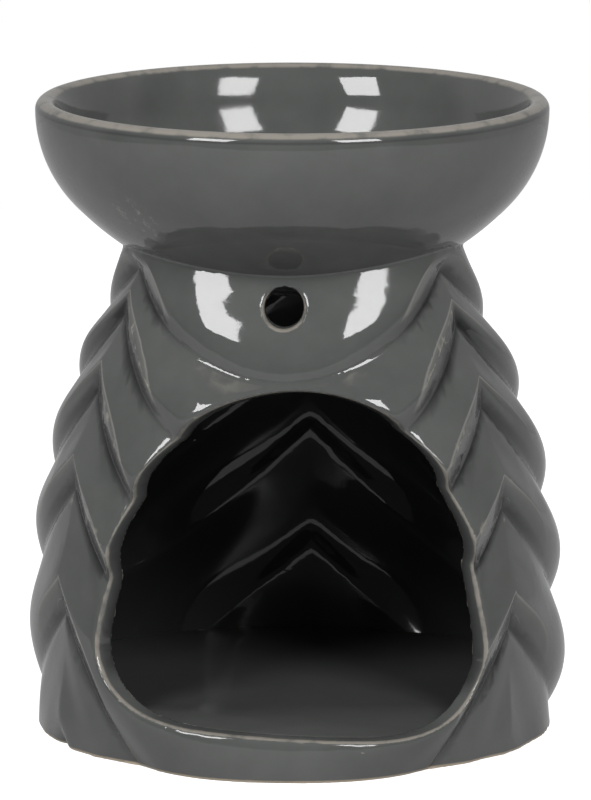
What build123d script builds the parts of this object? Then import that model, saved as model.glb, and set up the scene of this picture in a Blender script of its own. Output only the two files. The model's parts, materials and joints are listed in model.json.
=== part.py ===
"""Ceramic essential oil burner: a round dish on a bell-shaped body with swagged relief.

Three clay pieces are joined with slip before the glaze is fired: the cast body with its
hand-cut arch, the dish seated in the body's top edge, and the floor slab set on a ledge
above the foot. Lengths are millimetres, +Z is up, the foot stands on Z = 0, and the
front, where the arch is, faces -Y.
"""
from build123d import *
import os
from math import atan2, cos, degrees, log, pi, radians, sin, tan

os.makedirs("parts", exist_ok=True)

# Whole object
overall_height = 120.0
luting_gap = 0.1            # film of slip between two joined pieces
overrun = 5.0               # how far every cut runs past the clay it cuts

# Dish
bowl_diameter = 96.6
bowl_wall = 4.0
bowl_floor = 3.8            # clay between the inside's lowest point and the flat patch under it
bowl_side_share = 0.72      # radius of the outer side's curve, as a share of the dish's outer drop
bowl_flat_trim = 1.4        # what the flat patch takes off the round underside
bowl_offset = -0.6          # the dish was set a little to the left of the body's axis
bowl_inside_depth = 32.0    # rim down to the bottom of the inside
bowl_inside_side_radius = 24.0
rim_roll_radius = 18.5      # soft roll inside the lip
rim_roll_top = 30.0         # degrees that the inside leans out, just under the lip
rim_roll_bottom = 11.0      # degrees that it leans out where the roll ends

# Body: a bell that swells from the neck to the foot
neck_radius = 30.2
base_radius = 48.4
bell_shoulder_power = 3.38
bell_waist_power = 1.477
body_wall = 4.0
foot_taper = 1.2            # how far the foot draws in towards the table
foot_taper_height = 9.6

# Relief: three spines, with swagged lobes hanging between them in tiers
spine_count = 3
neck_spine_rise = 4.4       # how far a spine stands out beyond a valley, at the neck
base_spine_rise = -1.8      # at the foot the spines lie back instead
spine_swell = 2.0           # how far a lobe swells out between two grooves, on a spine
front_swell = 3.0           # the same, halfway between two spines
right_swell = 3.25
left_swell = 2.7
tier_height_shares = (0.994, 0.891, 0.732, 0.533, 0.28, -0.04)   # of neck_height, on a spine
front_drop_shares = (0.208, 0.298, 0.352, 0.374, 0.443, 0.46)    # of neck_height, at the front
side_drop_shares = (0.193, 0.267, 0.309, 0.312, 0.299, 0.36)     # the same, between the others
lean_shares = (0.0, 0.009, 0.013, 0.017, 0.01, 0.036)   # of neck_height: tiers tip to the right
bib_swell_share = 0.85      # the first lobe, under the dish, is flatter
bib_crown_share = 0.68      # and its crown lies lower
lining_swell_share = 0.8    # the inside follows the relief a little softer
spine_crown_share = 0.8     # how far down a lobe its crown lies, on a spine
valley_crown_share = 0.5
outer_section_shares = (0.0, 0.07, 0.25, 0.5, 0.75, 0.93, 1.0)
lining_section_shares = (0.0, 0.25, 0.5, 0.75, 1.0)
points_per_swag = 12

# Foot and chamber floor
floor_top = 8.2
floor_thickness = 4.0
foot_width = 7.8

# Arch, cut square to the wall, a little off the relief's own centre
arch_azimuth = 1.95         # degrees
arch_tilt = 3.0             # degrees that it tips over to the right
arch_half_angle = 46.8      # degrees
arch_head_slope = 15.0      # degrees that the cut falls towards the inside, over the head
arch_rise_share = 0.755     # of the way from the floor up to the neck
arch_widest_share = 0.221   # of the arch's rise, where head and lower corners meet
arch_corner_share = 0.695   # of the arch's half width

# Vent hole under the dish
vent_diameter = 7.3
vent_drop = 6.2             # from the neck down to the hole's centre

# Worked out from the sizes above
bowl_radius = bowl_diameter / 2
lip_radius = bowl_wall / 2
lip_height = overall_height - lip_radius
bowl_outer_drop = bowl_inside_depth + bowl_floor + bowl_flat_trim - lip_radius   # from the lip's centre
dish_lowest = lip_height - bowl_outer_drop
bowl_side_radius = bowl_side_share * bowl_outer_drop
bowl_side_centre = bowl_radius - bowl_side_radius
form_bottom = -base_radius
half_sector = 180.0 / spine_count
floor_bottom = floor_top - floor_thickness
foot_opening_radius = base_radius - foot_width


def floor_arc_radius(side_centre, side_radius, drop):
    """Radius of a floor arc that is centred on the axis and meets the side arc smoothly."""
    return (side_centre ** 2 + drop ** 2 - side_radius ** 2) / (2 * (drop - side_radius))


def dish_underside(radius):
    """Height of the dish's round underside at a distance from the axis."""
    floor_radius = floor_arc_radius(bowl_side_centre, bowl_side_radius, bowl_outer_drop)
    return dish_lowest + floor_radius - (floor_radius ** 2 - radius ** 2) ** 0.5


neck_height = dish_underside(neck_radius)
form_top = neck_height + 2 * bowl_wall
arch_rise = arch_rise_share * (neck_height - floor_top)
arch_widest = arch_widest_share * arch_rise


def spine_distance_share(azimuth):
    """0 on a spine, 1 in a valley halfway between two spines; a valley faces the front."""
    past_spine = (azimuth + half_sector) % (2 * half_sector)
    return min(past_spine, 2 * half_sector - past_spine) / half_sector


def between(low, high, share):
    return low + (high - low) * share


def bell_radius(height):
    rise_share = min(max(height / neck_height, 0.0), 1.0)
    swell_share = (1 - rise_share ** bell_shoulder_power) ** bell_waist_power
    return between(neck_radius, base_radius, swell_share)


def groove_radius(azimuth, height):
    """The bell with its three spines, before any lobe swells out from it."""
    rise_share = min(max(height / neck_height, 0.0), 1.0)
    spine_rise = between(base_spine_rise, neck_spine_rise, rise_share)
    taper_share = min(max(1 - height / foot_taper_height, 0.0), 1.0) ** 2
    bell = bell_radius(height) - foot_taper * taper_share
    return bell + spine_rise / 2 * cos(pi * spine_distance_share(azimuth))


def groove_height(tier, azimuth):
    """Grooves peak on the spines and hang like swags between them."""
    drop_shares = front_drop_shares if abs(azimuth) < half_sector else side_drop_shares
    hang_share = sin(pi / 2 * spine_distance_share(azimuth))
    lean_share = lean_shares[tier] * sin(radians(azimuth))
    return neck_height * (tier_height_shares[tier] - drop_shares[tier] * hang_share - lean_share)


def lobe_swell(lobe, azimuth, down_share):
    """How far a lobe stands out from the grooves, down_share of the way down it."""
    distance_share = spine_distance_share(azimuth)
    side_swell = right_swell if azimuth > 0 else left_swell
    valley_swell = front_swell if abs(azimuth) < half_sector else side_swell
    height = between(spine_swell, valley_swell, sin(pi / 2 * distance_share))
    crown_share = between(valley_crown_share, spine_crown_share, cos(pi / 2 * distance_share) ** 8)
    if lobe == 0:
        height = height * bib_swell_share
        crown_share = bib_crown_share
    return height * sin(pi * down_share ** (log(0.5) / log(crown_share)))


def relief_point(lobe, azimuth, down_share, inset, swell_share):
    top = form_top if lobe == 0 else groove_height(lobe - 1, azimuth)
    last_lobe = len(tier_height_shares)
    bottom = form_bottom - overrun if lobe == last_lobe else groove_height(lobe, azimuth)
    height = between(top, bottom, down_share)
    radius = groove_radius(azimuth, height) + swell_share * lobe_swell(lobe, azimuth, down_share)
    turn = radians(azimuth)
    return Vector(sin(turn), -cos(turn), 0) * (radius - inset) + Vector(0, 0, height)


def relief_ring(lobe, down_share, inset, swell_share):
    """One closed line round the body, made of a spline from each spine to the next."""
    swags = []
    for spine in range(spine_count):
        start = half_sector * (2 * spine - 1)
        azimuths = [start + 2 * half_sector * step / points_per_swag for step in range(points_per_swag + 1)]
        wrapped = [azimuth if azimuth <= 180 else azimuth - 360 for azimuth in azimuths]
        points = [relief_point(lobe, azimuth, down_share, inset, swell_share) for azimuth in wrapped]
        swags.append(Edge.make_spline(points))
    return Wire(swags)


def relief_form(inset, swell_share, section_shares):
    """The whole relief as a closed solid: one loft for each lobe, creased at the grooves."""
    lobe_count = len(tier_height_shares) + 1
    faces = []
    for lobe in range(lobe_count):
        rings = [relief_ring(lobe, share, inset, swell_share) for share in section_shares]
        faces += Shell.make_loft(rings).faces()
    faces.append(Face(relief_ring(0, 0.0, inset, swell_share)))
    faces.append(Face(relief_ring(lobe_count - 1, 1.0, inset, swell_share)))
    return Solid(Shell(faces))


def level_slab(bottom, top):
    """A plate wider than the object, between two heights."""
    width = 2 * (bowl_diameter + base_radius)
    return Pos(0, 0, bottom) * Box(width, width, top - bottom, align=(Align.CENTER, Align.CENTER, Align.MIN))


def upright_cylinder(radius, bottom, top):
    return Pos(0, 0, bottom) * Cylinder(radius, top - bottom, align=(Align.CENTER, Align.CENTER, Align.MIN))


def dish_curves(side_centre, side_radius, drop, side_top, grow):
    """The floor arc and the side arc on it, as far up as side_top degrees, moved out by grow."""
    floor_radius = floor_arc_radius(side_centre.X, side_radius, drop)
    floor_rise = floor_radius - drop
    turn = degrees(atan2(floor_rise, side_centre.X))
    floor_arc = CenterArc((0, side_centre.Y + floor_rise), floor_radius + grow, -90, 90 - turn)
    side_arc = CenterArc(side_centre, side_radius + grow, -turn, turn - side_top)
    return [floor_arc, side_arc]


def dish_outside(grow):
    return dish_curves(Vector(bowl_side_centre, lip_height), bowl_side_radius, bowl_outer_drop, 0, grow)


def make_dish_seat():
    """Room for the dish and the film of slip under it, filled up to the lip centre."""
    floor_arc, side_arc = dish_outside(luting_gap)
    filling = Polyline(side_arc @ 1, (0, lip_height), floor_arc @ 0)
    seat = revolve(Plane.XZ * make_face([floor_arc, side_arc, filling]), Axis.Z)
    seat = seat & level_slab(dish_lowest + bowl_flat_trim - luting_gap, overall_height)
    return Pos(bowl_offset, 0, 0) * seat


def make_oil_bowl():
    """One turned profile: round underside, half-round lip, soft roll inside it, hollow floor."""
    lip_centre = Vector(bowl_radius - lip_radius, lip_height)
    roll_start = 180 - rim_roll_top
    roll_end = 180 - rim_roll_bottom
    roll_centre = lip_centre - Vector(rim_roll_radius - lip_radius, 0).rotate(Axis.Z, roll_start)
    reach = Vector(rim_roll_radius + bowl_inside_side_radius, 0)
    side_centre = roll_centre + reach.rotate(Axis.Z, roll_end)
    drop = side_centre.Y - (overall_height - bowl_inside_depth)
    inside = dish_curves(side_centre, bowl_inside_side_radius, drop, rim_roll_bottom, 0.0)
    roll = CenterArc(roll_centre, rim_roll_radius, roll_start, roll_end - roll_start)
    lip = CenterArc(lip_centre, lip_radius, 0, roll_start)
    outside = dish_outside(0.0)
    axis_line = Line(inside[0] @ 0, outside[0] @ 0)
    dish = revolve(Plane.XZ * make_face([*outside, lip, roll, *inside, axis_line]), Axis.Z)
    dish = dish & level_slab(dish_lowest + bowl_flat_trim, overall_height)
    return Pos(bowl_offset, 0, 0) * dish


def arch_outline(distance):
    """The arch over its sill, on an upright plane in front of the axis, narrowing towards the axis."""
    half_width = distance * tan(radians(arch_half_angle))
    corner = half_width * arch_corner_share
    head_fall = (bell_radius(floor_top + arch_rise) - distance) * tan(radians(arch_head_slope))
    head_rise = arch_rise - arch_widest - head_fall
    head = EllipticalCenterArc((0, arch_widest), half_width, head_rise, 0, arc_size=180)
    left_corner = EllipticalCenterArc((corner - half_width, arch_widest), corner, arch_widest, 180)
    right_corner = EllipticalCenterArc((half_width - corner, arch_widest), corner, arch_widest, 270)
    sill = Line(left_corner @ 1, right_corner @ 0)
    front = Plane((0, -distance, 0), x_dir=(1, 0, 0), z_dir=(0, -1, 0))
    return front * Wire([head, left_corner, sill, right_corner])


def make_arch_cutter():
    far = arch_outline(base_radius + overrun)
    near = arch_outline(overrun)
    cutter = Rot(0, arch_tilt, 0) * Solid.make_loft([far, near], ruled=True)
    return Pos(0, 0, floor_top) * Rot(0, 0, arch_azimuth) * cutter


def make_vent_cutter():
    reach = base_radius + overrun
    drill = Cylinder(vent_diameter / 2, reach, align=(Align.CENTER, Align.CENTER, Align.MIN))
    return Pos(0, 0, neck_height - vent_drop) * Rot(90, 0, 0) * drill


def make_burner_body():
    outside = relief_form(0.0, 1.0, outer_section_shares) & level_slab(0.0, neck_height + bowl_wall)
    inside = relief_form(body_wall, lining_swell_share, lining_section_shares)
    chamber = inside & level_slab(floor_bottom, form_top + overrun)
    foot_opening = upright_cylinder(foot_opening_radius, -overrun, floor_bottom + overrun)
    shell = outside - chamber - foot_opening - make_dish_seat()
    return shell - make_arch_cutter() - make_vent_cutter()


def make_chamber_floor():
    inside = relief_form(body_wall + luting_gap, lining_swell_share, lining_section_shares)
    return inside & level_slab(floor_bottom, floor_top)


pieces = {
    "burner_body": make_burner_body(),
    "oil_bowl": make_oil_bowl(),
    "chamber_floor": make_chamber_floor(),
}
for name, piece in pieces.items():
    export_step(piece, f"parts/{name}.step")
    print(name, "volume", round(piece.volume), "mm3")
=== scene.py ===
# %% [markdown]
# # A ceramic oil burner in dark grey glaze
# The burner is three pieces of clay that are fired together: a dish for water and scented oil, a
# bell-shaped body with a swagged relief and a hand-cut arch, and a floor for the tealight. The packed
# model holds their exact shapes, so everything below is made in its frame, in metres, with +Z up and
# the arch facing -Y.

# %% Load the imported model
import json
from math import acos, atan2, cos, pi, radians, sin

import bpy
import numpy as np
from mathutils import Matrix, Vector

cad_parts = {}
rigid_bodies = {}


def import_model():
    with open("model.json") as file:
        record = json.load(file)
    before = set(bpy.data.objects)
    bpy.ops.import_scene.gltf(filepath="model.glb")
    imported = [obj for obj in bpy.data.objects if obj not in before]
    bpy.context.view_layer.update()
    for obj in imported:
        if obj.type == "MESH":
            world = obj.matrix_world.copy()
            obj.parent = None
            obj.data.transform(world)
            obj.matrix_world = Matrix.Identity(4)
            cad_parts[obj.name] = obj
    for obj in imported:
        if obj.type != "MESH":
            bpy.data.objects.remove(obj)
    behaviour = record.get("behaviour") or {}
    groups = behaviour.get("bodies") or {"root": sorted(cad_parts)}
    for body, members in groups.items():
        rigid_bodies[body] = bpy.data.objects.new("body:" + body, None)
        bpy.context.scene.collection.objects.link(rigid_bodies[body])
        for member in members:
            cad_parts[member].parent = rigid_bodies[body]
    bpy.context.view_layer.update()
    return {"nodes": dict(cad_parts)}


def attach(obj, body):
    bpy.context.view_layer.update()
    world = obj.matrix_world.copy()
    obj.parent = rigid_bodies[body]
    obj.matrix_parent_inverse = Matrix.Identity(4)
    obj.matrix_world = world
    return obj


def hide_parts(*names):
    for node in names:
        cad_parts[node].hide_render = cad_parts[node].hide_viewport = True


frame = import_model()

# %% [markdown]
# ## The camera
# The viewpoint decides which sizes can be compared with the picture, so it comes first. The rim of the
# dish is a circle, and how flat its ellipse looks gives the height of the camera. The picture is nearly
# without perspective, which means a long lens from more than a metre away.

# %% Place the camera
camera_data = bpy.data.cameras.new("portrait_camera")
camera_data.sensor_fit = "VERTICAL"
camera_data.sensor_height = 24.0
camera_data.lens = 201.587
camera = bpy.data.objects.new("portrait_camera", camera_data)
bpy.context.scene.collection.objects.link(camera)
camera.location = (0.08502, -1.24711, 0.30143)
look_at = Vector((0.0, 0.0, 0.06203))
camera.rotation_euler = (look_at - camera.location).to_track_quat("-Z", "Y").to_euler()
bpy.context.scene.camera = camera
print("camera at", tuple(round(value, 4) for value in camera.location))

# %% [markdown]
# ## Helpers
# An operator works on everything that is selected, so each step starts by selecting one piece and
# nothing else. Modifiers are applied at once, because each step builds on the mesh that the last one
# left. Where a step moves or measures a whole relief, it works on all vertices together, as an array.

# %% Helpers for selecting and for applying modifiers
def take(piece):
    """Selects one piece alone and makes it the active one."""
    bpy.ops.object.select_all(action="DESELECT")
    piece.select_set(True)
    bpy.context.view_layer.objects.active = piece


def apply_modifier(piece, kind, **settings):
    """Adds a modifier with these settings and applies it."""
    take(piece)
    modifier = piece.modifiers.new(kind.title(), kind)
    for name, value in settings.items():
        setattr(modifier, name, value)
    bpy.ops.object.modifier_apply(modifier=modifier.name)


def smooth_group(piece, name, chosen, iterations):
    """Smooths only the chosen vertices of a piece."""
    group = piece.vertex_groups.new(name=name)
    group.add(np.flatnonzero(chosen).tolist(), 1.0, "REPLACE")
    apply_modifier(piece, "SMOOTH", factor=0.5, iterations=iterations, vertex_group=name)


def node_copy(node, name):
    """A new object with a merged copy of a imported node's mesh."""
    piece = bpy.data.objects.new(name, frame["nodes"][node].data.copy())
    piece.data.materials.clear()
    bpy.context.scene.collection.objects.link(piece)
    take(piece)
    bpy.ops.object.mode_set(mode="EDIT")
    bpy.ops.mesh.select_all(action="SELECT")
    bpy.ops.mesh.remove_doubles(threshold=1e-6)
    bpy.ops.object.mode_set(mode="OBJECT")
    return piece


def triangle_count(piece):
    return sum(len(polygon.vertices) - 2 for polygon in piece.data.polygons)

# %% Helpers for arrays of vertices
def vertex_values(piece, name):
    """One vector for each vertex, as an array of x, y and z."""
    values = np.empty(3 * len(piece.data.vertices), dtype=np.float32)
    piece.data.vertices.foreach_get(name, values)
    return values.reshape(-1, 3).astype(np.float64)


def positions(piece):
    return vertex_values(piece, "co")


def vertex_normals(piece):
    return vertex_values(piece, "normal")


def set_positions(piece, points):
    piece.data.vertices.foreach_set("co", points.astype(np.float32).ravel())
    piece.data.update()


def turns(points):
    """Angle of each point round the body's axis, 0 at the front and positive to the right."""
    return np.arctan2(points[:, 0], -points[:, 1])


def reaches(points):
    """Distance of each point from the body's axis."""
    return np.hypot(points[:, 0], points[:, 1])


def facing_out(points, normals):
    """1 where the surface faces straight away from the axis and -1 where it faces the axis."""
    out = points * np.array([1, 1, 0])
    out /= np.linalg.norm(out, axis=1)[:, None] + 1e-9
    return (normals * out).sum(axis=1)


def ease(low, high, values):
    """Goes smoothly from 0 to 1 while the values go from low to high."""
    share = np.clip((values - low) / (high - low), 0, 1)
    return share * share * (3 - 2 * share)

# %% [markdown]
# ## The dish
# The dish was turned or cast round, so its whole shape is one profile. By hand this is a single vertex
# that is spun about one arc centre after another, floor, side, lip, soft roll and inside, and the
# finished line is then spun round the axis. Spun faces give clean highlights, which matters on a gloss
# glaze, where a triangulated copy would show its facets.

# %% Sizes of the dish, in metres
dish_offset = -0.0006
lip_height = 0.118
lip_radius = 0.002
dish_radius = 0.0483
dish_drop = 0.0352
side_radius = 0.72 * dish_drop
flat_trim = 0.0014
flat_height = lip_height - dish_drop + flat_trim
inside_bottom = 0.088
inside_side_radius = 0.024
roll_radius = 0.0185
roll_top = radians(30)
roll_bottom = radians(11)


def floor_arc(side_centre, radius, drop):
    """Radius of the floor's arc and the angle at which it meets the side's arc."""
    floor_radius = (side_centre ** 2 + drop ** 2 - radius ** 2) / (2 * (drop - radius))
    return floor_radius, atan2(floor_radius - drop, side_centre)


side_centre = dish_radius - side_radius
under_radius, under_turn = floor_arc(side_centre, side_radius, dish_drop)
under_centre = lip_height - dish_drop + under_radius
print("underside is part of a ball of radius", round(under_radius * 1000, 2), "mm")

# %% Ways to draw a profile and to spin it
merge_distance = 2e-6


def start_vertex(name):
    """A new object in edit mode that is one vertex, made from a plane."""
    bpy.ops.object.select_all(action="DESELECT")
    bpy.ops.mesh.primitive_plane_add(size=0.01)
    piece = bpy.context.object
    piece.name = name
    bpy.ops.object.mode_set(mode="EDIT")
    bpy.ops.mesh.select_all(action="SELECT")
    bpy.ops.mesh.merge(type="CENTER")
    return piece


def step(across, up):
    """Draws a straight line from the selected vertex in the XZ plane."""
    bpy.ops.mesh.extrude_region_move(TRANSFORM_OT_translate={"value": (across, 0, up)})


def sweep(centre_x, centre_z, angle, steps):
    """Spins the selected vertex about a point of the XZ plane; a positive angle goes up on the right."""
    bpy.ops.mesh.spin(steps=steps, angle=angle, center=(centre_x, 0, centre_z), axis=(0, 1, 0))


def spin_round(steps):
    """Spins the profile in edit mode round the axis and moves it to the dish's place."""
    bpy.ops.mesh.select_all(action="SELECT")
    bpy.ops.mesh.spin(steps=steps, angle=2 * pi, center=(0, 0, 0), axis=(0, 0, 1))
    bpy.ops.mesh.select_all(action="SELECT")
    bpy.ops.mesh.remove_doubles(threshold=merge_distance)
    bpy.ops.mesh.normals_make_consistent(inside=False)
    bpy.ops.mesh.select_all(action="SELECT")
    bpy.ops.transform.translate(value=(dish_offset, 0, 0))
    bpy.ops.object.mode_set(mode="OBJECT")

# %% Draw the dish's profile by spinning one vertex
flat_angle = acos((under_centre - flat_height) / under_radius)
lip_x = dish_radius - lip_radius
roll_x = lip_x + (roll_radius - lip_radius) * cos(roll_top)
roll_z = lip_height - (roll_radius - lip_radius) * sin(roll_top)
inner_x = roll_x - (roll_radius + inside_side_radius) * cos(roll_bottom)
inner_z = roll_z + (roll_radius + inside_side_radius) * sin(roll_bottom)
inner_radius, inner_turn = floor_arc(inner_x, inside_side_radius, inner_z - inside_bottom)

dish = start_vertex("dish")
bpy.ops.transform.translate(value=(0, 0, flat_height))
step(under_radius * sin(flat_angle), 0)
sweep(0, under_centre, pi / 2 - under_turn - flat_angle, 22)
sweep(side_centre, lip_height, under_turn, 16)
sweep(lip_x, lip_height, pi - roll_top, 14)
sweep(roll_x, roll_z, roll_top - roll_bottom, 6)
sweep(inner_x, inner_z, roll_bottom - inner_turn, 12)
sweep(0, inside_bottom + inner_radius, inner_turn - pi / 2, 20)
bpy.ops.object.mode_set(mode="OBJECT")
profile = positions(dish)
print("profile", len(profile), "points, ends at", profile[-1].round(5))

# %% Spin the profile round the axis
take(dish)
bpy.ops.object.mode_set(mode="EDIT")
spin_round(192)
bpy.ops.object.shade_smooth()
print("dish:", triangle_count(dish), "triangles")

# %% [markdown]
# ## The body
# A cast relief under a thick gloss glaze has no sharp edge left: the glaze rounds the rims of the arch
# and fills the bottoms of the grooves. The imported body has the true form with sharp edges. A voxel
# remesh turns a copy of it into even small faces, and smoothing then rounds every edge by about the
# same amount, as the glaze does. The corner under the dish has to be filled in the same way. So the
# body's seat is lifted a little into the dish, and a ring that lies hidden in the dish's wall is joined
# to it. The smoothing then finds a corner there and fills it with a small hollow curve.

# %% Take the body and lift its seat into the dish
slip_gap = 0.0001
seat_tolerance = 0.00003
seat_top = 0.099
seat_lift = 0.0006
ball_centre = np.array([dish_offset, 0, under_centre])
bell = node_copy("burner_body", "bell_body")
points = positions(bell)
from_ball = points - ball_centre
distance = np.linalg.norm(from_ball, axis=1)
seat = np.abs(distance - under_radius - slip_gap) < seat_tolerance
seat &= points[:, 2] < seat_top
points[seat] -= seat_lift * from_ball[seat] / distance[seat, None]
set_positions(bell, points)
print("seat vertices lifted:", int(seat.sum()))

# %% Spin a ring inside the dish's wall and join it to the body
ring_outer = under_radius - 0.00012
ring_inner = under_radius - 0.0026
ring_depth = ring_outer - ring_inner
free_cap_height = 0.0025
ring_start = acos(1 - free_cap_height / under_radius) + 0.05
ring_sweep = 0.42
ring_end = ring_start + ring_sweep
ring_x = ring_outer * sin(ring_start)
ring_z = under_centre - ring_outer * cos(ring_start)

ring = start_vertex("hidden_ring")
bpy.ops.transform.translate(value=(ring_x, 0, ring_z))
sweep(0, under_centre, ring_sweep, 24)
step(-ring_depth * sin(ring_end), ring_depth * cos(ring_end))
sweep(0, under_centre, -ring_sweep, 24)
step(ring_depth * sin(ring_start), -ring_depth * cos(ring_start))
bpy.ops.mesh.select_all(action="SELECT")
bpy.ops.mesh.remove_doubles(threshold=merge_distance)
spin_round(128)
print("ring:", triangle_count(ring), "triangles")
take(bell)
ring.select_set(True)
bpy.ops.object.join()

# %% Remesh the body
apply_modifier(bell, "REMESH", mode="VOXEL", voxel_size=0.00036)
print("remeshed body:", triangle_count(bell), "triangles")

# %% [markdown]
# The inner edge of the sill is the one edge that stays as it is. The floor meets the sill there, and a
# rounded edge would leave a furrow between the two. The sill tips down to the right with the arch, by 3
# degrees, so its height goes with the distance across.

# %% Soften the body, except for the sill's inner edge
sill_turn = radians(1.95)
sill_slope = radians(3.0)
sill_half_turn = 0.8
sill_edge_width = 0.0014
sill_edge_height = 0.0009
floor_top = 0.0082


def sill_height(points):
    """Height of the sill's plane at each point."""
    across = points[:, 0] * cos(sill_turn) + points[:, 1] * sin(sill_turn)
    return floor_top - across * sin(sill_slope) / cos(sill_slope)


packed_slab = positions(frame["nodes"]["chamber_floor"])
slab_turn = turns(packed_slab)
slab_order = np.argsort(slab_turn)
slab_reach = reaches(packed_slab)
points = positions(bell)
slab_edge = np.interp(turns(points), slab_turn[slab_order], slab_reach[slab_order])
at_sill = np.abs(reaches(points) - slab_edge) < sill_edge_width
at_sill &= np.abs(points[:, 2] - sill_height(points)) < sill_edge_height
at_sill &= np.abs(turns(points)) < sill_half_turn
smooth_group(bell, "soft", ~at_sill, 7)
print("vertices kept at the sill:", int(at_sill.sum()))

# %% [markdown]
# ## Crisp swags
# On the spines each swag ends in a crisp edge with a sloping underside and a hollow below it, like the
# edge of a roof tile. The lines of the swags are sine curves that hang from spine to spine. Their
# heights on the spines, their drops and their lean to the right are shares of the neck's height.

# %% Lines of the swags
neck_radius = 0.0302
neck_height = under_centre - (under_radius ** 2 - neck_radius ** 2) ** 0.5
half_sector = pi / 3
line_heights = (0.994, 0.891, 0.732, 0.533, 0.28, -0.04)
front_drops = (0.208, 0.298, 0.352, 0.374, 0.443, 0.46)
side_drops = (0.193, 0.267, 0.309, 0.312, 0.299, 0.36)
line_leans = (0.0, 0.009, 0.013, 0.017, 0.01, 0.036)
line_count = len(line_heights)


def spine_share(turn):
    """0 on a spine and 1 halfway between two spines."""
    past_spine = (turn + half_sector) % (2 * half_sector)
    return np.minimum(past_spine, 2 * half_sector - past_spine) / half_sector


def line_drop(turn, number):
    return np.where(np.abs(turn) < half_sector, front_drops[number], side_drops[number])


def line_height(turn, number):
    """Height of one line of the swags."""
    hang = line_drop(turn, number) * np.sin(pi / 2 * spine_share(turn))
    return neck_height * (line_heights[number] - hang - line_leans[number] * np.sin(turn))


def above_line(points, number):
    """How far each point is above one line of the swags, square to the line."""
    turn = turns(points)
    steepest = neck_height * line_drop(turn, number) * 1.5
    slope = steepest * np.cos(pi / 2 * spine_share(turn)) / reaches(points)
    return (points[:, 2] - line_height(turn, number)) / np.sqrt(1 + slope ** 2)


print("swag lines on the spines, mm:", (np.array(line_heights) * neck_height * 1000).round(1))

# %% [markdown]
# Between the lines the clay swells out in lobes from a plain bell with three spines. These are the same
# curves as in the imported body, so a point's distance from the plain bell shows how far it stands out.

# %% The plain bell and its lobes
bell_spread = 0.0182
shoulder_power = 3.38
waist_power = 1.477
foot_taper = 0.0012
foot_taper_height = 0.0096
neck_spine_rise = 0.0044
base_spine_rise = -0.0018
spine_swell = 0.002
front_swell = 0.003
right_swell = 0.00325
left_swell = 0.0027
valley_crown = 0.5
spine_crown = 0.8
bib_top = neck_height + 0.008
bib_swell_share = 0.85
bib_crown = 0.68


def plain_radius(turn, height):
    """Radius of the bell with its spines, without the swags."""
    rise = np.clip(height / neck_height, 0, 1)
    bell_radius = neck_radius + bell_spread * (1 - rise ** shoulder_power) ** waist_power
    bell_radius -= foot_taper * np.clip(1 - height / foot_taper_height, 0, 1) ** 2
    spine_rise = base_spine_rise + (neck_spine_rise - base_spine_rise) * rise
    return bell_radius + spine_rise / 2 * np.cos(pi * spine_share(turn))


def lobe_swell(points, number):
    """How far the lobe over one line stands out from the plain bell."""
    turn = turns(points)
    hang = np.sin(pi / 2 * spine_share(turn))
    side_swell = np.where(turn > 0, right_swell, left_swell)
    valley_swell = np.where(np.abs(turn) < half_sector, front_swell, side_swell)
    swell = spine_swell + (valley_swell - spine_swell) * hang
    if number == 0:
        top = bib_top
        swell = bib_swell_share * swell
        crown = bib_crown
    else:
        top = line_height(turn, number - 1)
        crown = valley_crown + (spine_crown - valley_crown) * (1 - hang ** 2) ** 4
    down = np.clip((top - points[:, 2]) / (top - line_height(turn, number)), 0, 1)
    return swell * np.sin(pi * down ** (np.log(0.5) / np.log(crown)))


def own_lobe(points):
    """How far each point is above the line under its own lobe, and how far that lobe stands out."""
    over = np.full(len(points), 1.0)
    swell = np.zeros(len(points))
    for number in range(line_count):
        gap = above_line(points, number)
        nearer = (gap > 0) & (gap < over)
        swell = np.where(nearer, lobe_swell(points, number), swell)
        over = np.where(nearer, gap, over)
    return over, swell


points = positions(bell)
print("lobes stand out by at most, mm:", (own_lobe(points)[1].max() * 1000).round(2))

# %% [markdown]
# The distance of a point above a line says how far out the clay may stand there: an even slope that
# falls from the lobe to the bottom of the hollow, and a flatter one that rises from it again. Whatever
# stands out further is planed off, most on the spines and less towards the valleys.

# %% Plane the lower edges of the swags
planed_lines = 5
plane_slope = 0.466
valley_slope_gain = 0.5
hollow_slope = 0.3
hollow_bottom = -0.0006
hollow_depth = 0.0004


def planed(points, gap):
    """How far the clay may stand out from the plain bell at a distance above a line."""
    slope = plane_slope + valley_slope_gain * ease(0.1, 0.6, spine_share(turns(points)))
    from_bottom = gap - hollow_bottom
    return np.maximum(slope * from_bottom, -hollow_slope * from_bottom) - hollow_depth


def outer_share(points, normals):
    """1 on the outside of the body and 0 on its cut edges, its inside and under the dish."""
    under_dish = np.linalg.norm(points - ball_centre, axis=1) - under_radius
    return ease(0.1, 0.4, facing_out(points, normals)) * ease(0.001, 0.003, under_dish)


def plane_share(turn):
    """1 on a spine, less along the arms of the swags, where those to the side end sooner."""
    ahead = 1 - ease(0.25, 0.75, spine_share(turn))
    aside = 1 - ease(0.0, 0.4, spine_share(turn))
    return np.where(np.abs(turn) < half_sector, ahead, aside)


reach = reaches(points)
bell_turn = turns(points)
swell = reach - plain_radius(bell_turn, points[:, 2])
planed_swell = swell.copy()
for number in range(planed_lines):
    planed_swell = np.minimum(planed_swell, planed(points, above_line(points, number)))
shift = plane_share(bell_turn) * outer_share(points, vertex_normals(bell)) * (planed_swell - swell)
points[:, :2] *= (1 + shift / reach)[:, None]
set_positions(bell, points)
apply_modifier(bell, "SMOOTH", factor=0.5, iterations=1)
print("planed off, at most, mm:", (-shift.min() * 1000).round(2))

# %% [markdown]
# A cast piece is softer inside, where the clay settled against itself and not against the mould. So the
# lining is smoothed much longer than the outside.

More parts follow.
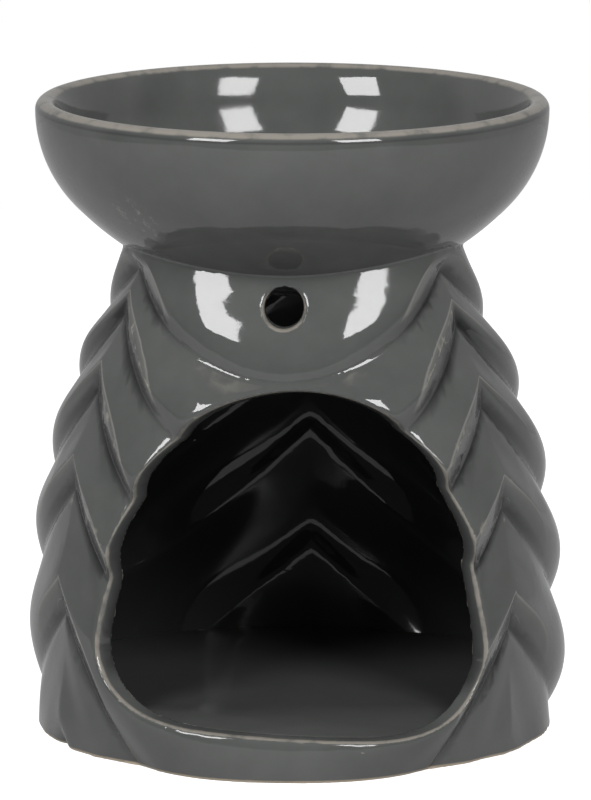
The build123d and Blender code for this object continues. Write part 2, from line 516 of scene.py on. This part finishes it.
# %% Soften the lining
lining_bottom = 0.012
lining = (facing_out(points, vertex_normals(bell)) < -0.5) & (points[:, 2] > lining_bottom)
smooth_group(bell, "lining", lining, 50)
print("vertices in the lining:", int(lining.sum()))

# %% [markdown]
# The arch and the vent were cut through the wall, and a wet sponge took their sharp outer edges off. The
# vertices of that edge face neither outwards nor along the cut. They and their near neighbours are
# smoothed once more, until the edge is a soft roll that catches the light.

# %% Round the outer edge of the cuts
cut_half_turn = 1.1
cut_bottom = 0.004
cut_top = 0.088
cut_edge_depth = 0.0014
edge_rings = 6


def depth_inside(points):
    """How far each point lies inside the outer face of the lobe that it belongs to."""
    return plain_radius(turns(points), points[:, 2]) + own_lobe(points)[1] - reaches(points)


points = positions(bell)
facing = facing_out(points, vertex_normals(bell))
rolled = (facing > 0.1) & (facing < 0.6) & (depth_inside(points) < cut_edge_depth)
rolled &= (np.abs(bell_turn) < cut_half_turn) & (points[:, 2] > cut_bottom) & (points[:, 2] < cut_top)
links = np.empty(2 * len(bell.data.edges), dtype=np.int32)
bell.data.edges.foreach_get("vertices", links)
links = links.reshape(-1, 2)
for edge_ring in range(edge_rings):
    touched = rolled[links].any(axis=1)
    rolled[links[touched].ravel()] = True
smooth_group(bell, "sponge", rolled & ~at_sill, 30)
print("vertices in the soft edge:", int(rolled.sum()))

# %% Thin the body to a workable number of faces
bell.vertex_groups.clear()
apply_modifier(bell, "DECIMATE", ratio=188000 / triangle_count(bell))
take(bell)
bpy.ops.object.shade_smooth()
print("body:", triangle_count(bell), "triangles")

# %% [markdown]
# ## The chamber floor
# The floor is a slab set inside the wall and glazed in with it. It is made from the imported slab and
# widened a little into the wall, so that no dark slit shows where the glaze has closed the joint. At
# the front it follows the sill.

# %% Widen the floor into the wall and lead it to the sill
slab_growth = 1.025
slab_lift = 0.00004
slab = node_copy("chamber_floor", "chamber_slab")
bpy.ops.object.mode_set(mode="EDIT")
bpy.ops.mesh.select_all(action="SELECT")
bpy.ops.transform.resize(value=(slab_growth, slab_growth, 1.0), center_override=(0, 0, 0))
bpy.ops.object.mode_set(mode="OBJECT")
apply_modifier(slab, "REMESH", mode="VOXEL", voxel_size=0.0006)
points = positions(slab)
upper = ease(0.0055, 0.0078, points[:, 2])
ahead = ease(-0.022, -0.036, points[:, 1])
points[:, 2] += upper * (ahead * (sill_height(points) - floor_top) + slab_lift)
set_positions(slab, points)
take(slab)
bpy.ops.object.shade_smooth_by_angle(angle=radians(30))
print("floor:", triangle_count(slab), "triangles")

# %% [markdown]
# ## Where the glaze runs thin
# Molten glaze draws back from edges and crests, and the pale clay shows through there in a warm beige.
# To find those places, a copy of the body is smoothed hard and compared with the body itself: where the
# body stands out from its smoothed copy, it is an edge. The soft edge of the cuts and the top of the
# dish's lip are found by their place; the beige runs on over the inner side of the lip as a painted
# reflection. The result is kept on the mesh as an attribute that the glaze can read.

# %% Measure the body and the dish
def keep_attribute(piece, name, values):
    """Keeps a number for each vertex, or one number for all of them, on the piece."""
    count = len(piece.data.vertices)
    attribute = piece.data.attributes.new(name, "FLOAT", "POINT")
    attribute.data.foreach_set("value", np.broadcast_to(values, count).astype(np.float32))


def edge_height(piece, iterations):
    """How far each vertex stands out from a smoothed copy of the piece, along its normal."""
    smooth_copy = bpy.data.objects.new("smooth_copy", piece.data.copy())
    bpy.context.scene.collection.objects.link(smooth_copy)
    apply_modifier(smooth_copy, "SMOOTH", factor=0.5, iterations=iterations)
    gap = positions(piece) - positions(smooth_copy)
    bpy.data.objects.remove(smooth_copy)
    return (gap * vertex_normals(piece)).sum(axis=1)


bell_edges = edge_height(bell, 12)
bell_points = positions(bell)
bell_normals = vertex_normals(bell)
bell_turn = turns(bell_points)
bell_facing = facing_out(bell_points, bell_normals)
bell_outer = outer_share(bell_points, bell_normals)
from_dish = np.linalg.norm(bell_points - ball_centre, axis=1) - under_radius
away = ease(0.0015, 0.003, from_dish)
cut_depth = depth_inside(bell_points)
dish_points = positions(dish)
from_axis = np.hypot(dish_points[:, 0] - dish_offset, dish_points[:, 1])
lip_turn = np.degrees(np.arctan2(dish_points[:, 2] - lip_height, from_axis - lip_x))
on_lip = dish_points[:, 2] > lip_height - lip_radius
print("body edges, mm:", (np.percentile(bell_edges, [1, 50, 90, 97, 99, 99.8]) * 1000).round(3))

# %% Mark the thin glaze, and a painted reflection on the inner side of the dish's lip
bell_thin = np.clip((bell_edges - 0.00007) / 0.00009, 0, 1)
cut_edge = (1 - ease(0.6, 0.85, bell_facing)) * (1 - ease(0.0009, 0.0018, cut_depth))
cut_edge *= ease(0.003, 0.006, bell_points[:, 2]) * (np.abs(bell_turn) < cut_half_turn)
# Beige on the top of the lip is thin glaze; on its inner side it is a painted reflection.
lip_thin_and_sheen = on_lip * ease(22, 42, lip_turn) * (1 - ease(125, 160, lip_turn))
keep_attribute(bell, "thin_glaze_and_sheen", np.maximum(bell_thin, cut_edge) * away)
keep_attribute(dish, "thin_glaze_and_sheen", lip_thin_and_sheen)
keep_attribute(slab, "thin_glaze_and_sheen", 0.0)
print("vertices with thin glaze on the body:", int((bell_thin > 0.5).sum()))

# %% [markdown]
# Inside the chamber, on the cut faces and towards the back of the floor, shade is painted into the glaze,
# which makes it nearly black. A thin painted shadow also lies under the lip of the dish.

# %% Mark the painted shade
inside = ease(0.1, 0.7, -bell_facing)
cut_face = ease(0.0005, 0.0032, cut_depth) * (1 - ease(0.4, 0.8, bell_normals[:, 2]))
cut_face *= 1 - bell_outer
lip_shadow = on_lip * ease(4, 12, lip_turn) * (1 - ease(16, 26, lip_turn))
keep_attribute(bell, "painted_shade", np.maximum(inside, 0.85 * cut_face * away))
keep_attribute(dish, "painted_shade", 0.6 * lip_shadow)
# Painted shade on the floor, darker towards the back of the chamber.
keep_attribute(slab, "painted_shade", 0.6 * ease(-0.046, -0.02, positions(slab)[:, 1]))
print("vertices with deep glaze in the body:", int((inside > 0.5).sum()))

# %% [markdown]
# The crisp edges of the swags carry a pale line, partly glaze running thin at the crest and partly a
# painted highlight, and their sloping undersides a painted reflection; the hollows under them carry a
# painted shadow. The pale line lies where the planed slope meets the lobe over it, so the difference of
# the two is kept as well.

# %% Mark the painted sheen on the edges of the swags and the painted shadow in the hollows under them
line_gaps = np.stack([above_line(bell_points, number) for number in range(line_count)])
over, own_swell = own_lobe(bell_points)
under = np.where(line_gaps < 0, line_gaps, -1.0).max(axis=0)
swag_share = plane_share(bell_turn) * bell_outer
shadow = np.maximum(1 - ease(0.0007, 0.0022, over), ease(-0.0016, -0.0008, under))
shadow *= swag_share * (1 - ease(0.12, 0.55, spine_share(bell_turn)))
edge_share = swag_share * (over != line_gaps[planed_lines])
edge_share *= ease(0.0012, 0.0018, over) * (1 - ease(0.005, 0.006, over))
keep_attribute(bell, "shadow_line", shadow)
keep_attribute(bell, "edge_gap", 1000 * (planed(bell_points, over) - own_swell))
keep_attribute(bell, "edge_share", edge_share)
for piece in (dish, slab):
    for name in ("shadow_line", "edge_gap", "edge_share"):
        keep_attribute(piece, name, 0.0)
for piece, worn_share in ((dish, 0.0), (bell, 0.0), (slab, 1.0)):
    keep_attribute(piece, "worn", worn_share)
print("vertices in the hollows:", int((shadow > 0.5).sum()))

# %% [markdown]
# ## The glaze
# One glaze covers everything: a dark grey with a breath of green, glossy as glass and slightly mottled.
# It turns beige where it is thin, and on the inner side of the dish's lip the beige is a painted reflection.
# Painted shade makes it nearly black inside the chamber and in the hollows of the swags, and a painted
# sheen lies on the edges of the swags. The dish has a small scuffed patch at its left, the floor is worn
# dull, and under the foot the clay is bare, because a glazed foot would stick to the kiln shelf.

# %% Helpers for shader nodes
glaze = bpy.data.materials.new("fired_grey_glaze")
glaze.use_nodes = True
tree = glaze.node_tree
tree.nodes.clear()


def connect(value, socket):
    """Sets an input to a number or a colour, or links another node's output to it."""
    if isinstance(value, (int, float)):
        socket.default_value = value
    elif isinstance(value, tuple):
        socket.default_value = (*value, 1)
    elif value is not None:
        tree.links.new(value, socket)


def node(kind, *values, **settings):
    """A new node of the current tree, with its first inputs connected in order."""
    made = tree.nodes.new(kind)
    for name, value in settings.items():
        setattr(made, name, value)
    for socket, value in zip(made.inputs, values):
        connect(value, socket)
    return made


def level(value, low, high, to_low=0.0, to_high=1.0):
    """A value spread smoothly from one range to another and kept inside it."""
    made = node("ShaderNodeMapRange", value, low, high, to_low, to_high, interpolation_type="SMOOTHSTEP")
    return made.outputs["Result"]


def math(kind, first, second):
    return node("ShaderNodeMath", first, second, operation=kind).outputs["Value"]


def mix(share, below_colour, above_colour):
    """Goes from one colour to another as share goes from 0 to 1."""
    made = node("ShaderNodeMix", share, data_type="RGBA")
    connect(below_colour, made.inputs[6])
    connect(above_colour, made.inputs[7])
    return made.outputs[2]

# %% Helpers for what the glaze reads
place = node("ShaderNodeTexCoord").outputs["Object"]


def noise(scale, detail, roughness=0.5):
    made = node("ShaderNodeTexNoise", place)
    made.inputs["Scale"].default_value = scale
    made.inputs["Detail"].default_value = detail
    made.inputs["Roughness"].default_value = roughness
    return made.outputs["Fac"]


def ramp(value, *stops):
    """A colour ramp between two stops, each a position and a colour."""
    made = node("ShaderNodeValToRGB", value)
    for element, (position, colour) in zip(made.color_ramp.elements, stops):
        element.position = position
        element.color = (*colour, 1)
    return made.outputs["Color"]


def kept(name):
    """An attribute that was kept on the mesh."""
    return node("ShaderNodeAttribute", attribute_name=name).outputs["Fac"]

# %% Colour of the glaze
dark_grey = (0.084, 0.088, 0.085)
light_grey = (0.106, 0.11, 0.106)
shade_grey = (0.032, 0.0335, 0.0325)
painted_shadow_grey = (0.022, 0.023, 0.0225)
sheen_grey = (0.25, 0.245, 0.23)
beige = (0.27, 0.25, 0.22)

edge_gap = kept("edge_gap")
# Painted reflection on the sloping underside of each swag edge, and a crest line that is partly thin glaze
# and partly a painted highlight.
flank_reflection = math("MULTIPLY", level(edge_gap, -1.1, -0.1), level(edge_gap, 0.0, 0.15, 1.0, 0.0))
crisp_line = math("MULTIPLY", level(edge_gap, -0.25, -0.05), level(edge_gap, 0.0, 0.2, 1.0, 0.0))
edge_sheen = math("ADD", math("MULTIPLY", flank_reflection, 0.25), math("MULTIPLY", crisp_line, 0.4))
edge_sheen = math("MULTIPLY", edge_sheen, kept("edge_share"))
broken = math("MULTIPLY", kept("thin_glaze_and_sheen"), level(noise(260, 3), 0.25, 0.6, 0.55, 1.0))
colour = ramp(noise(70, 5, 0.6), (0.3, dark_grey), (0.7, light_grey))
# Painted shade: nearly black inside the chamber, on the cut faces, at the back of the floor and under the
# lip.
colour = mix(kept("painted_shade"), colour, shade_grey)
# Painted shadow in the hollows under the swag edges, then the painted sheen on the edges.
colour = mix(kept("shadow_line"), colour, painted_shadow_grey)
colour = mix(edge_sheen, colour, sheen_grey)
colour = mix(level(broken, 0.3, 1.0), colour, beige)
print("glaze colours:", len(tree.nodes), "nodes")

# %% Scuffs and the bare foot
scuff_centre = (-0.0275, -0.034, 0.1005)
scuff_grey = (0.42, 0.41, 0.39)
bare_clay = (0.52, 0.43, 0.33)

from_scuff = node("ShaderNodeVectorMath", place, operation="DISTANCE")
from_scuff.inputs[1].default_value = scuff_centre
scuff = level(from_scuff.outputs["Value"], 0.001, 0.0075, 0.55, 0.0)
scuff = math("MULTIPLY", scuff, level(noise(520, 6, 0.75), 0.53, 0.66))
height = node("ShaderNodeSeparateXYZ", place).outputs["Z"]
foot = level(height, 0.0002, 0.0007, 1.0, 0.0)
colour = mix(scuff, colour, scuff_grey)
colour = mix(foot, colour, bare_clay)
print("with scuffs and foot:", len(tree.nodes), "nodes")

# %% Gloss and surface of the glaze
smudge = level(noise(45, 4), 0.35, 0.75, 0.045, 0.10)
dull = math("MAXIMUM", math("MULTIPLY", kept("worn"), 0.35), math("MULTIPLY", foot, 0.8))
dimples = node("ShaderNodeBump")
dimples.inputs["Strength"].default_value = 0.2
dimples.inputs["Distance"].default_value = 0.0001
connect(noise(330, 2), dimples.inputs["Height"])
gloss = node("ShaderNodeBsdfPrincipled", colour)
connect(math("MAXIMUM", smudge, dull), gloss.inputs["Roughness"])
connect(dimples.outputs["Normal"], gloss.inputs["Normal"])
node("ShaderNodeOutputMaterial", gloss.outputs["BSDF"])
for piece in (dish, bell, slab):
    piece.data.materials.append(glaze)
print("glaze nodes:", len(tree.nodes))

# %% [markdown]
# ## Handing the pieces over
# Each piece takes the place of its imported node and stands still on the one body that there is.

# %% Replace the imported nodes
for piece, packed in ((dish, "oil_bowl"), (bell, "burner_body"), (slab, "chamber_floor")):
    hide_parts(packed)
    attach(piece, "root")
    print(piece.name, "stands for", packed)

# %% [markdown]
# ## Studio
# The burner stands on a white table in front of white paper, between two softboxes that stand to the
# left and right of the camera and a little above it. A gloss glaze shows their outlines, so their place
# and size matter more than their strength. The paper is pure white to the camera, and its mirror image
# in the glaze fades towards the front. The same helpers make these nodes, in the tree of the paper and
# then in that of the room.

# %% White table
bpy.ops.object.select_all(action="DESELECT")
bpy.ops.mesh.primitive_plane_add(size=1.0)
table = bpy.context.object
table.name = "white_table"
bpy.ops.object.mode_set(mode="EDIT")
bpy.ops.transform.resize(value=(1.2, 1.2, 1.0))
bpy.ops.object.mode_set(mode="OBJECT")
paper = bpy.data.materials.new("white_paper")
paper.use_nodes = True
tree = paper.node_tree
matt = tree.nodes["Principled BSDF"]
matt.inputs["Base Color"].default_value = (0.5, 0.5, 0.5, 1)
matt.inputs["Roughness"].default_value = 0.9
matt.inputs["Specular IOR Level"].default_value = 0.0
matt.inputs["Emission Color"].default_value = (1, 1, 1, 1)
rays = node("ShaderNodeLightPath").outputs
paper_place = node("ShaderNodeSeparateXYZ", node("ShaderNodeTexCoord").outputs["Object"])
mirrored_glow = level(paper_place.outputs["Y"], -0.5, 0.1, 0.0, 0.26)
mirrored_glow = math("MULTIPLY", rays["Is Glossy Ray"], mirrored_glow)
connect(math("MAXIMUM", rays["Is Camera Ray"], mirrored_glow), matt.inputs["Emission Strength"])
table.data.materials.append(paper)
print("white table:", len(tree.nodes), "nodes")

# %% White room
world = bpy.data.worlds.new("white_room")
world.use_nodes = True
bpy.context.scene.world = world
tree = world.node_tree
tree.nodes.clear()
rays = node("ShaderNodeLightPath").outputs
direction = node("ShaderNodeTexCoord").outputs["Generated"]
depth = node("ShaderNodeSeparateXYZ", direction).outputs["Y"]
paper_share = node("ShaderNodeMapRange", depth, -0.1, 0.15, 0.05, 0.4).outputs["Result"]
mirrored = math("MAXIMUM", rays["Is Glossy Ray"], rays["Is Transmission Ray"])
fill = node("ShaderNodeMix", mirrored, None, 0.2, paper_share).outputs[0]
seen = node("ShaderNodeMix", rays["Is Camera Ray"], None, fill, 1.0).outputs[0]
backdrop = node("ShaderNodeBackground", (1, 1, 1), seen)
node("ShaderNodeOutputWorld", backdrop.outputs["Background"])
print("white room:", len(tree.nodes), "nodes")

# %% Softboxes
softbox_rise = radians(34.0)
softbox_aim = Vector((0, 0, 0.06))


def softbox(name, turn):
    """A rectangular lamp a metre away that looks at the burner; a turn of 0 is the front."""
    lamp_data = bpy.data.lights.new(name, "AREA")
    lamp_data.shape = "RECTANGLE"
    lamp_data.size = 0.30
    lamp_data.size_y = 0.38
    lamp_data.energy = 5.3
    lamp = bpy.data.objects.new(name, lamp_data)
    bpy.context.scene.collection.objects.link(lamp)
    level_part = cos(softbox_rise)
    lamp.location = softbox_aim + Vector((sin(turn) * level_part, -cos(turn) * level_part, sin(softbox_rise)))
    lamp.rotation_euler = (softbox_aim - lamp.location).to_track_quat("-Z", "Y").to_euler()
    lamp.visible_camera = False
    print(name, "at", tuple(round(value, 3) for value in lamp.location))


softbox("left_softbox", radians(-35))
softbox("right_softbox", radians(35))

# %% Set the view transform and finish
scene = bpy.context.scene
scene.view_settings.view_transform = "Standard"
